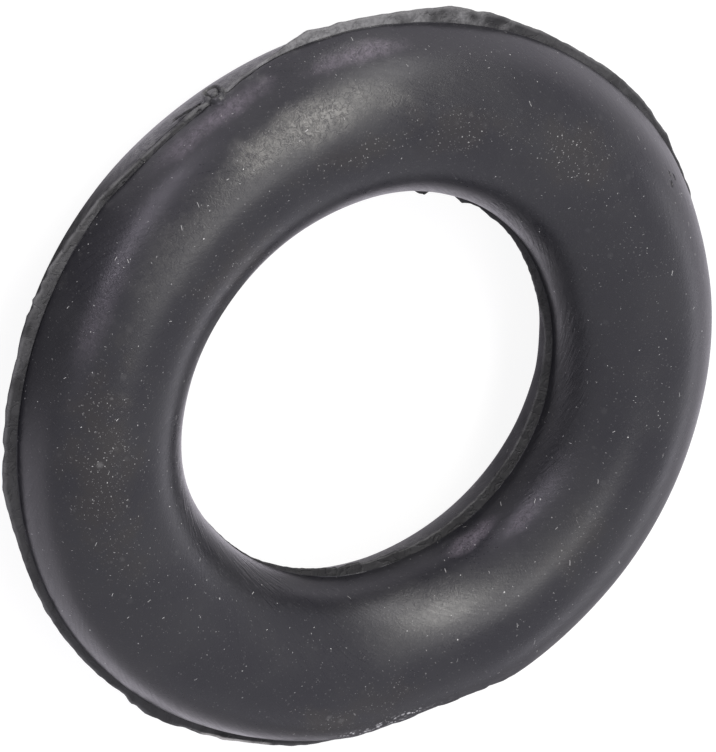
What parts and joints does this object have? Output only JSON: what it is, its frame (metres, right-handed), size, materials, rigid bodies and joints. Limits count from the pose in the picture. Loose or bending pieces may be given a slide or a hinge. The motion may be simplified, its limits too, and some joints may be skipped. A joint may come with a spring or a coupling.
{
  "type": "exhaust hanger",
  "caption": "Solid moulded rubber ring with a round section and torn mould flash round its middle; a body hook and an exhaust hook pass through its hole.",
  "frame": {"origin": "middle of the ring, on the plane where the two halves of the mould met", "axes": "+Z runs through the hole, square to the ring, towards the side that the picture shows; +X points at the part of the ring that is at the upper right of the picture"},
  "size_m": [0.064, 0.0628, 0.014],
  "materials": {
    "ring_rubber": "satin black moulded rubber with light dust and lint"
  },
  "bodies": {
    "root": {"rubber_ring": "ring_rubber"}
  },
  "joints": []
}
